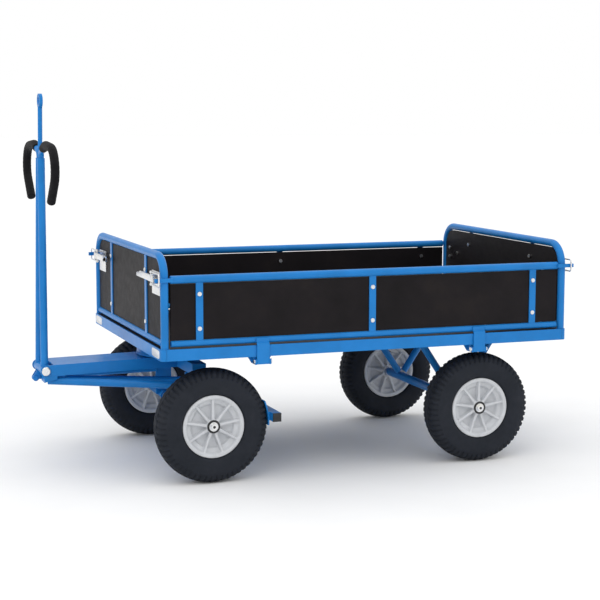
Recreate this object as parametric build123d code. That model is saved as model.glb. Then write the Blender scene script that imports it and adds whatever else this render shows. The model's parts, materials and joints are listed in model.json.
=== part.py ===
"""Hand-drawn platform cart: ball-race turntable, folding side gates, plug-in end gates, drawbar that works a brake.

Every solid is drawn about the deck's centre on the ground, in millimetres: the drawbar is towards -X, the tail
towards +X, left is -Y and Z is up. `save` then moves it back by DECK_X, so that the row's origin is under the middle
of the whole cart.
"""
from build123d import *
import math
import os

# ---- driving dimensions ----
DECK_X = 161.0  # deck centre behind the row's origin
FRAME_L = 1540.0  # load deck, outside the frame
FRAME_W = 1014.0
FRAME_BOTTOM = 444.0
FRAME_TOP = 484.0
ANGLE_T = 4.0  # frame angle: 40 x 40 x 4
ANGLE_LEG = 40.0
DECK_T = 15.0  # coated plywood deck
PANEL_T = 9.0  # coated plywood in the gates
TUBE_R = 13.45  # 26.9 mm gate and drawbar tube
RAIL_R = 11.0  # 22 mm bottom rails
SOCKET_R = 17.0  # corner sockets, 33.7 mm tube
WHEEL_R = 200.0  # 400 x 100 pneumatic wheels
TYRE_W = 100.0
RIM_R = 110.0
HALF_TRACK = 420.0
REAR_AXLE_X = 444.0
KINGPIN_X = -573.0
AXLE_R = 17.0
SPINDLE_R = 10.0
RUNNING = 0.05  # radial running clearance
GAP = 0.4  # between pieces that move past each other

# ---- gates ----
POST_X = FRAME_L / 2 - SOCKET_R
POST_Y = FRAME_W / 2 - SOCKET_R
HOOP_TOP = 794.5  # centre line of the end gates' top tube
HOOP_BEND_R = 75.0
SIDE_TOP = 718.0  # centre line of the side gates' top rail
RAIL_Z = 500.0  # centre line of every bottom rail
SIDE_END = POST_X - 21.0  # side rails stop short of the posts
BAR_W = 25.0  # flat bars across the panels
BAR_T = 4.0
SIDE_BARS_X = (-632.0, 0.0, 632.0)
SIDE_BOLTS_Z = (549.0, 667.0)
END_BARS_Y = (-260.0, 260.0)
STRAP_XS = (-411.0, 411.0)
STRAP_W = 45.0
STRAP_T = 5.0
FOLD_Y = FRAME_W / 2 - 2.0  # fold axis of a side gate
FOLD_Z = 427.0
FOLD_PIN_R = 5.0

# ---- latches, on the outer face of each end gate ----
LATCH_Y = 440.0  # lever pivot, from the cart's centre line
LATCH_OUT = 25.0  # lever pivot, outside the post's centre
BAIL_Y = 415.0
BAIL_REACH = 516.5
BAIL_HALF = 21.0
WIRE_R = 3.0
LEVER_TIP_Y = 262.0
LATCH_BOLTS = ((436.0, 706.0), (432.0, 668.0), (366.0, 687.0))

# ---- drawbar, turntable and brake ----
PIVOT_X = -1078.0
PIVOT_Z = 361.0
ARM_HALF = 81.0
ARM_H = 40.0
ARM_T = 5.0
ARM_FRONT = -1050.0
ARM_REAR = -517.0
ARM_FRONT_TOP = 382.0
ARM_REAR_TOP = 391.9
PLATE_Z = 392.0  # underside of the carriage plate
RACE_R = 130.0
BALL_R = 7.0
BALL_COUNT = 24
BALL_Z = 419.5
EYE_Z = 1313.0
HEAD_X = -1067.0  # the drawbar leans back by 11 mm over its height
HEAD_Z = 1112.0  # top of the two drawbar tubes
HORN_R = 10.7
GRIP_R = 15.5
PRONG_HALF = 51.0
HORN_BENDS = ((14.0, 1130.0, 25.0), (100.0, 1160.0, 100.0), (245.0, 1150.0, 75.0), (278.0, 1062.0, 70.0))  # Y, Z, radius
HORN_END = (190.0, 968.0)
FOAM_FROM = 0.14  # share of the bent tube that is left bare
LEVER_PIN_X = -1102.0
LEVER_PIN_Z = 327.0
BRAKE_PIVOT_X = -345.0
BRAKE_PIVOT_Z = 150.0
ROD_END_X = -385.0
ROD_END_Z = 277.0
BAR_X = -350.0
BAR_Z = 222.0
BRAKE_BAR_HALF = 15.0
BRAKE_BAR_REACH = 478.0
LEG_Y = 206.0
BOARD_R = 152.0  # round plate of the carriage


# ---- helpers ----
def block(x0, x1, y0, y1, z0, z1):
    """A box between two corners."""
    size = (abs(x1 - x0), abs(y1 - y0), abs(z1 - z0))
    return Pos((x0 + x1) / 2, (y0 + y1) / 2, (z0 + z1) / 2) * Box(*size)


def rod(start, end, radius):
    """A round bar between two points."""
    run = Vector(*end) - Vector(*start)
    return Plane(origin=start, z_dir=run) * Cylinder(radius, run.length, align=(Align.CENTER, Align.CENTER, Align.MIN))


def pipe(start, end, radius, bore):
    """A tube between two points."""
    return rod(start, end, radius) - rod(start, end, bore)


def cross_rod(x, z, y0, y1, radius):
    """A round bar along Y."""
    return rod((x, y0, z), (x, y1, z), radius)


def bent_tube(path, radius, bore):
    """A tube swept along a path of straight runs and arcs."""
    start = Plane(origin=path @ 0, z_dir=path % 0)
    outer = sweep(start * Circle(radius), path=path)
    return outer - sweep(start * Circle(bore), path=path)


def plate(points, y0, y1):
    """A flat plate in the XZ plane, between two Y positions."""
    face = make_face(Polyline(*[(x, y0, z) for x, z in points], close=True))
    return extrude(face, amount=y1 - y0, dir=(0, 1, 0))


def mirrored(shape):
    """The same piece on the other side of the cart."""
    return mirror(shape, about=Plane.XZ)


def save(name, *pieces):
    """Write one node, with each piece as its own solid, in the row's frame."""
    solids = [s for p in pieces for s in p.solids()]
    moved = [s.moved(Location((DECK_X, 0, 0))) for s in solids]
    shape = moved[0] if len(moved) == 1 else Compound(children=moved)
    export_step(shape, f"parts/{name}.step")


# ---- load deck ----
def corner_posts(radius, z0, z1):
    """A round bar at each of the four corner posts."""
    spots = [(sx * POST_X, sy * POST_Y) for sx in (-1, 1) for sy in (-1, 1)]
    return [rod((x, y, z0), (x, y, z1), radius) for x, y in spots]


def frame_rails():
    """Four lengths of angle, upright leg outside, cut round the corner sockets."""
    half_l, half_w = FRAME_L / 2, FRAME_W / 2
    sockets = corner_posts(SOCKET_R + RUNNING, FRAME_BOTTOM - 1, FRAME_TOP + 1)
    rails = []
    for side in (-1, 1):
        upright = block(-POST_X, POST_X, side * (half_w - ANGLE_T), side * half_w, FRAME_BOTTOM, FRAME_TOP)
        leg_end = POST_X - SOCKET_R - ANGLE_LEG
        inner = side * (half_w - ANGLE_LEG)
        foot = block(-leg_end, leg_end, inner, side * half_w, FRAME_BOTTOM, FRAME_BOTTOM + ANGLE_T)
        rails.append(upright + foot)
        upright = block(side * (half_l - ANGLE_T), side * half_l, -POST_Y, POST_Y, FRAME_BOTTOM, FRAME_TOP)
        inner = side * (half_l - ANGLE_LEG)
        leg_end = POST_Y - SOCKET_R - 1
        foot = block(inner, side * half_l, -leg_end, leg_end, FRAME_BOTTOM, FRAME_BOTTOM + ANGLE_T)
        rails.append(upright + foot)
    for socket in sockets:
        rails = [rail - socket for rail in rails]
    return rails


def corner_sockets():
    """Four short tubes that take the end gates' posts."""
    outer = corner_posts(SOCKET_R, FRAME_BOTTOM, FRAME_TOP)
    bores = corner_posts(TUBE_R + 0.25, FRAME_BOTTOM + 2, FRAME_TOP + 1)
    return [o - b for o, b in zip(outer, bores)]


def deck_bearers():
    """Cross members between the side rails, under the deck."""
    top = FRAME_TOP - DECK_T
    bottom = FRAME_BOTTOM + ANGLE_T
    reach = FRAME_W / 2 - ANGLE_T - 1
    spots = (KINGPIN_X - 90, KINGPIN_X + 90, STRAP_XS[0], 0.0, REAR_AXLE_X - 160, STRAP_XS[1], REAR_AXLE_X + 160)
    return [block(x - 20, x + 20, -reach, reach, bottom, top) for x in spots]


def deck_panel():
    """The plywood deck, inside the frame and round the sockets."""
    reach_x, reach_y = FRAME_L / 2 - ANGLE_T - 1, FRAME_W / 2 - ANGLE_T - 1
    board = block(-reach_x, reach_x, -reach_y, reach_y, FRAME_TOP - DECK_T, FRAME_TOP)
    for socket in corner_posts(SOCKET_R + 1, FRAME_BOTTOM, FRAME_TOP + 1):
        board -= socket
    return board


def hinge_bracket(x, side):
    """A gusset under the frame with two ears, and the pin that a side gate's strap turns on."""
    ear_in, ear_t = STRAP_W / 2 + 1, 5.0
    back, front = FOLD_Y - 33, FOLD_Y + 9
    low = FOLD_Z - 10
    shape = [(x - 45, FRAME_BOTTOM), (x + 45, FRAME_BOTTOM), (x + ear_in + ear_t, low), (x - ear_in - ear_t, low)]
    body = plate(shape, back - 5, back)
    for s in (-1, 1):
        inner, outer = x + s * ear_in, x + s * (ear_in + ear_t)
        body += block(inner, outer, back, front, low, FOLD_Z + 8)
        body += block(inner, outer, back, FOLD_Y - 6, low, FRAME_BOTTOM)
    pin_reach = ear_in + ear_t
    pin = rod((x - pin_reach, FOLD_Y, FOLD_Z), (x + pin_reach, FOLD_Y, FOLD_Z), FOLD_PIN_R)
    heads = []
    for s in (-1, 1):
        start, end = x + s * pin_reach, x + s * (pin_reach + 4)
        heads.append(rod((start, FOLD_Y, FOLD_Z), (end, FOLD_Y, FOLD_Z), 8))
    body -= pin
    pin = pin + heads[0] + heads[1]
    return (body, pin) if side > 0 else (mirrored(body), mirrored(pin))


# ---- gates ----
def bolt(x, y, z, axis, inside, outside, domed=True):
    """A bolt with a nut, through a gate: `axis` is X or Y, and the two numbers are its ends along it."""
    way = 1 if outside > inside else -1
    at = (lambda d: (d, y, z)) if axis == "X" else (lambda d: (x, d, z))
    shank = rod(at(inside), at(outside), 4)
    nut = rod(at(inside), at(inside - way * 5), 7)
    if not domed:
        return shank + nut
    head = rod(at(outside), at(outside + way * 4), 8)
    rim_edge = head.edges().filter_by(GeomType.CIRCLE).sort_by_distance(at(outside + way * 4))[0]
    return fillet(rim_edge, 2.5) + shank + nut


def side_gate():
    """The left side gate: rails, flat bars, straps, panel and bolts."""
    y = -POST_Y
    top = pipe((-SIDE_END, y, SIDE_TOP), (SIDE_END, y, SIDE_TOP), TUBE_R, TUBE_R - 2.3)
    for s in (-1, 1):
        end = s * SIDE_END
        top += rod((end - s * 4, y, SIDE_TOP), (end, y, SIDE_TOP), TUBE_R - 1)
        top += block(end - s * 4, end, y - 22, y, SIDE_TOP - 6.5, SIDE_TOP + 6.5)
        top += block(end - s * 4, s * (POST_X + 38), y - 22, y - 15, SIDE_TOP - 6.5, SIDE_TOP + 6.5)
    bottom = pipe((-SIDE_END, y, RAIL_Z), (SIDE_END, y, RAIL_Z), RAIL_R, RAIL_R - 2)
    face = y - 2.0
    panel = block(-SIDE_END, SIDE_END, face, face + PANEL_T, RAIL_Z + RAIL_R + 1, SIDE_TOP - TUBE_R - 2)
    bars = []
    bolts = []
    for x in SIDE_BARS_X:
        bar = block(x - BAR_W / 2, x + BAR_W / 2, face - BAR_T, face, RAIL_Z + 4, SIDE_TOP - 6)
        bar = bar - rod((-SIDE_END, y, RAIL_Z), (SIDE_END, y, RAIL_Z), RAIL_R)
        bar = bar - rod((-SIDE_END, y, SIDE_TOP), (SIDE_END, y, SIDE_TOP), TUBE_R)
        for z in SIDE_BOLTS_Z:
            bar -= rod((x, face - 10, z), (x, face + 10, z), 4.2)
            panel -= rod((x, face - 10, z), (x, face + 12, z), 4.2)
            bolts.append(bolt(x, y, z, "Y", face + PANEL_T, face - BAR_T))
        bars.append(bar)
    return [top, bottom] + bars, panel, bolts


def gate_straps():
    """Two straps under the left gate's bottom rail, each with the eye that turns on the fold pin."""
    inner, outer = -FOLD_Y - 4, -FOLD_Y - 4 - STRAP_T
    rail_face = -POST_Y - RAIL_R
    profile = [(outer, FOLD_Z - 9), (inner, FOLD_Z - 9), (inner, FRAME_TOP + 3), (rail_face, RAIL_Z - 6)]
    profile += [(rail_face, RAIL_Z + 9), (rail_face - STRAP_T, RAIL_Z + 9), (rail_face - STRAP_T, RAIL_Z - 4)]
    profile += [(outer, FRAME_TOP + 6)]
    straps = []
    for x in STRAP_XS:
        half = STRAP_W / 2
        face = make_face(Polyline(*[(x - half, y, z) for y, z in profile], close=True))
        strap = extrude(face, amount=STRAP_W, dir=(1, 0, 0))
        strap += rod((x - half, -FOLD_Y, FOLD_Z), (x + half, -FOLD_Y, FOLD_Z), 9)
        strap -= rod((x - half - 1, -FOLD_Y, FOLD_Z), (x + half + 1, -FOLD_Y, FOLD_Z), FOLD_PIN_R + RUNNING)
        strap -= rod((-SIDE_END, -POST_Y, RAIL_Z), (SIDE_END, -POST_Y, RAIL_Z), RAIL_R)
        straps.append(strap)
    return straps


def end_gate():
    """The front end gate: hoop, bottom rail and flat bars, panel, bolts and the holes that they pass through."""
    x = -POST_X
    foot = FRAME_BOTTOM + 3
    corners = [(x, -POST_Y, foot), (x, -POST_Y, HOOP_TOP), (x, POST_Y, HOOP_TOP), (x, POST_Y, foot)]
    hoop = bent_tube(FilletPolyline(*corners, radius=HOOP_BEND_R), TUBE_R, TUBE_R - 2.3)
    rail = rod((x, -POST_Y, RAIL_Z), (x, POST_Y, RAIL_Z), RAIL_R)
    face = x - 2.0
    back = face + PANEL_T
    reach = POST_Y - TUBE_R - 2
    top = HOOP_TOP - TUBE_R - 2
    panel = block(face, back, -reach, reach, RAIL_Z + RAIL_R + 1, top)
    upper = panel.edges().filter_by(Axis.X).group_by(Axis.Z)[-1]
    panel = fillet(upper, HOOP_BEND_R - TUBE_R)
    bars = []
    bolts = []
    for y in END_BARS_Y:
        bar = block(face - BAR_T, face, y - BAR_W / 2, y + BAR_W / 2, RAIL_Z + 4, HOOP_TOP - 6)
        bar = bar - rail - rod((x, -POST_Y, HOOP_TOP), (x, POST_Y, HOOP_TOP), TUBE_R)
        for z in (549.0, 731.0):
            hole = rod((face - 10, y, z), (face + 12, y, z), 4.2)
            bar -= hole
            panel -= hole
            bolts.append(bolt(x, y, z, "X", back, face - BAR_T))
        bars.append(bar)
    for s in (-1, 1):
        rail -= rod((x, s * POST_Y, FRAME_TOP), (x, s * POST_Y, SIDE_TOP), TUBE_R)
        for y, z in LATCH_BOLTS:
            panel -= rod((face - 10, s * y, z), (face + 12, s * y, z), 4.2)
            bolts.append(bolt(x, s * y, z, "X", back, face - BAR_T, domed=False))
    return hoop, [rail] + bars, panel, bolts


def latch():
    """The front left latch: base plate with its pivot pin, lever with the bail's pin, and the wire bail."""
    face = -POST_X - 2.0
    axis_x = -POST_X - LATCH_OUT
    z = SIDE_TOP
    base = block(face - 4, face, -455, -352, 660, z + 22)
    for s in (-1, 1):
        base += block(axis_x - 7, face - 4, -LATCH_Y - 10, -LATCH_Y + 12, z + s * 13, z + s * 16.5)
    base -= rod((axis_x, -LATCH_Y, z - 30), (axis_x, -LATCH_Y, z + 30), 3)
    for y, bz in LATCH_BOLTS:
        base -= rod((face - 10, -y, bz), (face + 12, -y, bz), 4.2)
    pin = rod((axis_x, -LATCH_Y, z - 17.5), (axis_x, -LATCH_Y, z + 17.5), 3)
    lever = block(axis_x - 3, axis_x + 3, -LATCH_Y, -LEVER_TIP_Y, z - 11, z + 11)
    tip_edges = lever.edges().filter_by(Axis.X).group_by(Axis.Y)[-1]
    lever = fillet(tip_edges, 10.5)
    lever += rod((axis_x, -LATCH_Y, z - 11), (axis_x, -LATCH_Y, z + 11), 7)
    lever += rod((axis_x, -BAIL_Y, z - 11), (axis_x, -BAIL_Y, z + 11), 5.5)
    lever -= rod((axis_x, -LATCH_Y, z - 12), (axis_x, -LATCH_Y, z + 12), 3 + RUNNING)
    lever += rod((axis_x, -BAIL_Y, z - 26), (axis_x, -BAIL_Y, z + 26), 2.5)
    start = (axis_x, -BAIL_Y - 4, z - BAIL_HALF)
    end = (axis_x, -BAIL_Y - 4, z + BAIL_HALF)
    outer = [(axis_x, -BAIL_REACH, z - BAIL_HALF), (axis_x, -BAIL_REACH, z + BAIL_HALF)]
    bail = bent_solid(FilletPolyline(start, *outer, end, radius=10), WIRE_R)
    for s in (-1, 1):
        zc = z + s * BAIL_HALF
        bail += rod((axis_x, -BAIL_Y, zc - 3.5), (axis_x, -BAIL_Y, zc + 3.5), 5.5)
        bail -= rod((axis_x, -BAIL_Y, zc - 4), (axis_x, -BAIL_Y, zc + 4), 2.5 + RUNNING)
    return [base, pin], lever, bail


def bent_solid(path, radius):
    """A round bar swept along a path of straight runs and arcs."""
    return sweep(Plane(origin=path @ 0, z_dir=path % 0) * Circle(radius), path=path)


# ---- running gear ----
def tyre(x, side):
    """A pneumatic tyre: rounded crown, bulged walls and beads on the rim."""
    half = TYRE_W / 2
    outside = [(102.5, 32.5), (110.5, 32.5), (114, 41), (150, half), (180, half - 5), (194, 34), (WHEEL_R, 16)]
    inside = [(189, 14), (185, 28), (174, 36), (150, half - 8), (118, 30), (102.5, 18)]
    outline = [(r, y) for r, y in outside] + [(r, -y) for r, y in reversed(outside)]
    outline += [(r, -y) for r, y in reversed(inside)] + [(r, y) for r, y in inside]
    points = [(r, y, 0) for r, y in outline]
    face = Rot(90, 0, 0) * make_face(Polyline(*points, close=True))
    ring = revolve(face, axis=Axis.Z)
    return Pos(x, side * HALF_TRACK, WHEEL_R) * Rot(90, 0, 0) * ring


def rim(x, side):
    """A moulded rim: barrel with two flanges, web, hub and nine ribs on each face."""
    barrel = Cylinder(RIM_R, 80) - Cylinder(98, 82)
    barrel -= Cylinder(RIM_R + 1, 66) - Cylinder(102, 68)
    web = Cylinder(99, 8) - Cylinder(17, 10)
    hub = Cylinder(20.5, 76)
    body = barrel + web + hub
    rib = Pos(59, 0, 0) * Box(80, 7, 62)
    for n in range(9):
        body += Rot(0, 0, 40 * n) * rib
    body -= Cylinder(SPINDLE_R + 6, 80)
    return Pos(x, side * HALF_TRACK, WHEEL_R) * Rot(90, 0, 0) * body


def axle(x):
    """An axle tube with a spindle turned on each end."""
    beam = cross_rod(x, WHEEL_R, -366, 366, AXLE_R)
    return beam + cross_rod(x, WHEEL_R, -HALF_TRACK - 40, HALF_TRACK + 40, SPINDLE_R)


def axle_hardware(x):
    """Per wheel: two hub bushes on the spindle, a washer and a bolt head outside the hub."""
    parts = []
    for s in (-1, 1):
        mid = s * HALF_TRACK
        for inner, outer in ((-36, -22), (22, 36)):
            ends = (mid + inner, mid + outer)
            bush = cross_rod(x, WHEEL_R, *ends, SPINDLE_R + 6 - RUNNING)
            parts.append(bush - cross_rod(x, WHEEL_R, *ends, SPINDLE_R))
        start, end = s * (HALF_TRACK + 38.6), s * (HALF_TRACK + 40)
        parts.append(cross_rod(x, WHEEL_R, start, end, 16) - cross_rod(x, WHEEL_R, start, end, SPINDLE_R))
        parts.append(cross_rod(x, WHEEL_R, end, s * (HALF_TRACK + 47), 11))
    return parts


def rear_struts():
    """A V of two tubes on each side, from the rear axle up to the bearers, with a pad at each top."""
    parts = []
    for s in (-1, 1):
        y = s * 255
        for lean in (-1, 1):
            top = (REAR_AXLE_X + lean * 160, y, FRAME_BOTTOM - 4)
            foot = (REAR_AXLE_X + lean * 12, y, WHEEL_R + AXLE_R + 4)
            leg = rod(foot, top, TUBE_R)
            leg -= cross_rod(REAR_AXLE_X, WHEEL_R, y - 30, y + 30, AXLE_R)
            parts.append(leg - block(top[0] - 40, top[0] + 40, y - 40, y + 40, FRAME_BOTTOM - 4, FRAME_BOTTOM + 30))
            parts.append(block(top[0] - 35, top[0] + 35, y - 30, y + 30, FRAME_BOTTOM - 4, FRAME_BOTTOM + 4))
        parts[-4] -= parts[-2]
    return parts


def turntable_top():
    """The plate under the bearers and the upper ball race."""
    board = block(KINGPIN_X - 150, KINGPIN_X + 150, -165, 165, 439, 448)
    board -= rod((KINGPIN_X, 0, 430), (KINGPIN_X, 0, 450), 12)
    ring = race(BALL_Z + 5.5, 439)
    return [board, ring]


def race(z0, z1):
    """A flat ring with a groove for the balls."""
    height = z1 - z0
    ring = Pos(KINGPIN_X, 0, (z0 + z1) / 2) * (Cylinder(RACE_R + 20, height) - Cylinder(RACE_R - 20, height + 2))
    return ring - Pos(KINGPIN_X, 0, BALL_Z) * Torus(RACE_R, BALL_R + 0.3)


def race_balls():
    """The balls of the turntable, evenly spaced."""
    step = 2 * math.pi / BALL_COUNT
    spots = [(KINGPIN_X + RACE_R * math.cos(step * n), RACE_R * math.sin(step * n)) for n in range(BALL_COUNT)]
    return [Pos(x, y, BALL_Z) * Sphere(BALL_R) for x, y in spots]


def carriage_frame():
    """The plate under the lower race, a bolster each side of the drawbar arm, and a leg down to the axle."""
    x = KINGPIN_X
    board = rod((x, 0, PLATE_Z), (x, 0, PLATE_Z + 8), BOARD_R)
    board -= rod((x, 0, PLATE_Z - 12), (x, 0, PLATE_Z + 18), 12 + RUNNING)
    parts = [board]
    for s in (-1, 1):
        parts.append(block(x - 25, x + 25, s * (ARM_HALF + 1), s * 285, PLATE_Z - ARM_H, PLATE_Z))
        leg = block(x - 30, x + 30, s * (LEG_Y - 4), s * (LEG_Y + 4), WHEEL_R, PLATE_Z - ARM_H)
        parts.append(leg - cross_rod(x, WHEEL_R, -300, 300, AXLE_R))
    return parts


def arm_line(x):
    """Height of the drawbar arm's top face, which rises towards the turntable."""
    rise = (ARM_REAR_TOP - ARM_FRONT_TOP) / (ARM_REAR - ARM_FRONT)
    return ARM_FRONT_TOP + (x - ARM_FRONT) * rise


def drawbar_arm():
    """A folded channel, open below, whose sides run on to the drawbar pivot."""
    sides = [(ARM_FRONT, arm_line(ARM_FRONT)), (ARM_REAR, arm_line(ARM_REAR))]
    sides += [(ARM_REAR, arm_line(ARM_REAR) - ARM_H), (PIVOT_X, PIVOT_Z - 20), (PIVOT_X, PIVOT_Z + 20)]
    body = None
    for s in (-1, 1):
        cheek = plate(sides, *sorted((s * ARM_HALF, s * (ARM_HALF - ARM_T))))
        cheek += cross_rod(PIVOT_X, PIVOT_Z, s * (ARM_HALF - ARM_T), s * ARM_HALF, 20)
        cheek -= cross_rod(PIVOT_X, PIVOT_Z, -100, 100, 10)
        body = cheek if body is None else body + cheek
    drop = ARM_T
    web = [(ARM_FRONT, arm_line(ARM_FRONT)), (ARM_REAR, arm_line(ARM_REAR))]
    web += [(ARM_REAR, arm_line(ARM_REAR) - drop), (ARM_FRONT, arm_line(ARM_FRONT) - drop)]
    return body + plate(web, -ARM_HALF, ARM_HALF) - rod((KINGPIN_X, 0, 340), (KINGPIN_X, 0, 400), 26)


def drawbar_struts():
    """Two tubes that run from under the drawbar's tip out to the axle legs."""
    parts = []
    for s in (-1, 1):
        tube = rod((PIVOT_X + 12, s * 52, 322), (KINGPIN_X - 28, s * (LEG_Y - 4), 302), TUBE_R)
        tube -= block(KINGPIN_X - 30, KINGPIN_X + 60, s * 150, s * 300, 250, 350)
        nose = [(PIVOT_X - 6, 343), (PIVOT_X + 40, 343), (PIVOT_X + 40, 330), (PIVOT_X - 6, 320)]
        tip = plate(nose, s * 52 - 30, s * 52 + 30)
        tip -= cross_rod(PIVOT_X, PIVOT_Z, -90, 90, SOCKET_R + 1)
        parts.append(tube + tip - drawbar_arm())
    return parts


def pivot_bolt():
    """The bolt through the arm's cheeks that the drawbar turns on, with a domed head and a nut."""
    shank = cross_rod(PIVOT_X, PIVOT_Z, -ARM_HALF, ARM_HALF, 10)
    head = cross_rod(PIVOT_X, PIVOT_Z, -ARM_HALF - 10, -ARM_HALF, 16)
    head = fillet(head.edges().filter_by(GeomType.CIRCLE).group_by(Axis.Y)[0], 5)
    return shank + head + cross_rod(PIVOT_X, PIVOT_Z, ARM_HALF, ARM_HALF + 12, 15)


# ---- drawbar ----
def on_drawbar(z):
    """X of the drawbar's centre line at a height: it leans slightly back."""
    return PIVOT_X + (HEAD_X - PIVOT_X) * (z - PIVOT_Z) / (EYE_Z - PIVOT_Z)


def pivot_sleeve():
    """The tube that turns on the pivot bolt."""
    reach = ARM_HALF - ARM_T - 1
    return cross_rod(PIVOT_X, PIVOT_Z, -reach, reach, SOCKET_R) - cross_rod(PIVOT_X, PIVOT_Z, -90, 90, 10 + RUNNING)


def drawbar_tubes(bore=TUBE_R - 2.3):
    """Two tubes that rise from the sleeve and meet under the handle."""
    parts = []
    for s in (-1, 1):
        foot = (on_drawbar(PIVOT_Z + 12), s * PRONG_HALF, PIVOT_Z + 12)
        top = (on_drawbar(HEAD_Z), s * (TUBE_R + 0.2), HEAD_Z)
        tube = pipe(foot, top, TUBE_R, bore) if bore else rod(foot, top, TUBE_R)
        parts.append(tube - cross_rod(PIVOT_X, PIVOT_Z, -90, 90, SOCKET_R))
    return parts


def horn_path(side):
    """Centre line of one grip tube: up from the drawbar, outwards in an arch, then down and inwards."""
    x = on_drawbar(HEAD_Z)
    corners = [(TUBE_R + 0.5, HEAD_Z - 2)] + [(y, z) for y, z, _ in HORN_BENDS] + [HORN_END]
    radii = [radius for _, _, radius in HORN_BENDS]
    return FilletPolyline(*[(x, side * y, z) for y, z in corners], radius=radii)


def horn_tubes():
    """The two bent tubes, cut to fit on the drawbar's tubes."""
    tubes = []
    for side in (-1, 1):
        tube = bent_solid(horn_path(side), HORN_R)
        for below in drawbar_tubes(0):
            tube -= below
        tubes.append(tube)
    return tubes


def foam_grips():
    """A closed foam sleeve over the outer part of each bent tube."""
    grips = []
    for side in (-1, 1):
        path = horn_path(side)
        foam = bent_solid(path.trim(FOAM_FROM, 1.0), GRIP_R)
        outwards = (Align.CENTER, Align.CENTER, Align.MIN)
        cover = Plane(origin=path @ 1, z_dir=path % 1) * Cylinder(GRIP_R, 5, align=outwards)
        grips.append(foam + cover - bent_solid(path, HORN_R))
    return grips


def tow_eye():
    """A round bar with a ring at its top, whose hole takes a hitch pin."""
    x0, x1 = on_drawbar(HEAD_Z), on_drawbar(EYE_Z)
    bar = rod((x0, 0, HEAD_Z + 8), (x1, 0, EYE_Z - 20), 8)
    for horn in horn_tubes():
        bar -= horn
    ring = rod((x1 - 6, 0, EYE_Z), (x1 + 6, 0, EYE_Z), 25)
    return bar + ring - rod((x1 - 12, 0, EYE_Z), (x1 + 12, 0, EYE_Z), 12.5)


def brake_lever():
    """Two cheeks under the sleeve with the pin that works the brake rod."""
    parts = []
    for s in (-1, 1):
        y0, y1 = sorted((s * 8, s * 13))
        shape = [(PIVOT_X - 17, PIVOT_Z - 2), (PIVOT_X + 12, PIVOT_Z - 10), (LEVER_PIN_X + 10, LEVER_PIN_Z - 5)]
        shape += [(LEVER_PIN_X - 11, LEVER_PIN_Z + 3)]
        cheek = plate(shape, y0, y1) + cross_rod(LEVER_PIN_X, LEVER_PIN_Z, y0, y1, 11)
        cheek -= cross_rod(PIVOT_X, PIVOT_Z, -90, 90, SOCKET_R)
        parts.append(cheek - cross_rod(LEVER_PIN_X, LEVER_PIN_Z, -30, 30, 5))
    pin = cross_rod(LEVER_PIN_X, LEVER_PIN_Z, -13, 13, 5)
    for s in (-1, 1):
        pin += cross_rod(LEVER_PIN_X, LEVER_PIN_Z, s * 13, s * 18, 8)
    return parts + [pin]


# ---- parking brake ----
def brake_rod():
    """The pull rod: an eye on the lever's pin, a tube, and a slotted blade round the cross pin of the brake arms."""
    eye = cross_rod(LEVER_PIN_X, LEVER_PIN_Z, -6, 6, 10)
    run = Vector(ROD_END_X - LEVER_PIN_X, 0, ROD_END_Z - LEVER_PIN_Z).normalized()
    start = Vector(LEVER_PIN_X, 0, LEVER_PIN_Z)
    end = Vector(ROD_END_X, 0, ROD_END_Z)
    a, b = start + run * 5, start + run * 110
    c = end - run * 34
    thin = rod(a, b, 5)
    thick = rod(b, c, 10)
    blade = block(ROD_END_X - 40, ROD_END_X + 22, -4, 4, ROD_END_Z - 28, ROD_END_Z + 28)
    slot = block(ROD_END_X - 11, ROD_END_X + 11, -5, 5, ROD_END_Z - 22, ROD_END_Z + 22)
    body = eye + thin + thick + blade - slot
    return body - cross_rod(LEVER_PIN_X, LEVER_PIN_Z, -7, 7, 5 + RUNNING)


def brake_brackets():
    """Plates clamped round the front axle that reach back to the pin each brake arm turns on."""
    parts = []
    for s in (-1, 1):
        for y in (120, 138):
            y0, y1 = sorted((s * y, s * (y + 5)))
            shape = [(KINGPIN_X, WHEEL_R - 28), (BRAKE_PIVOT_X, BRAKE_PIVOT_Z - 14)]
            shape += [(BRAKE_PIVOT_X, BRAKE_PIVOT_Z + 14), (KINGPIN_X, WHEEL_R + 28)]
            ear = plate(shape, y0, y1) + cross_rod(KINGPIN_X, WHEEL_R, y0, y1, 28)
            ear += cross_rod(BRAKE_PIVOT_X, BRAKE_PIVOT_Z, y0, y1, 14)
            ear -= cross_rod(KINGPIN_X, WHEEL_R, -200, 200, AXLE_R)
            parts.append(ear - cross_rod(BRAKE_PIVOT_X, BRAKE_PIVOT_Z, -200, 200, 6))
        parts.append(cross_rod(BRAKE_PIVOT_X, BRAKE_PIVOT_Z, s * 118, s * 145, 6))
    return parts


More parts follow.
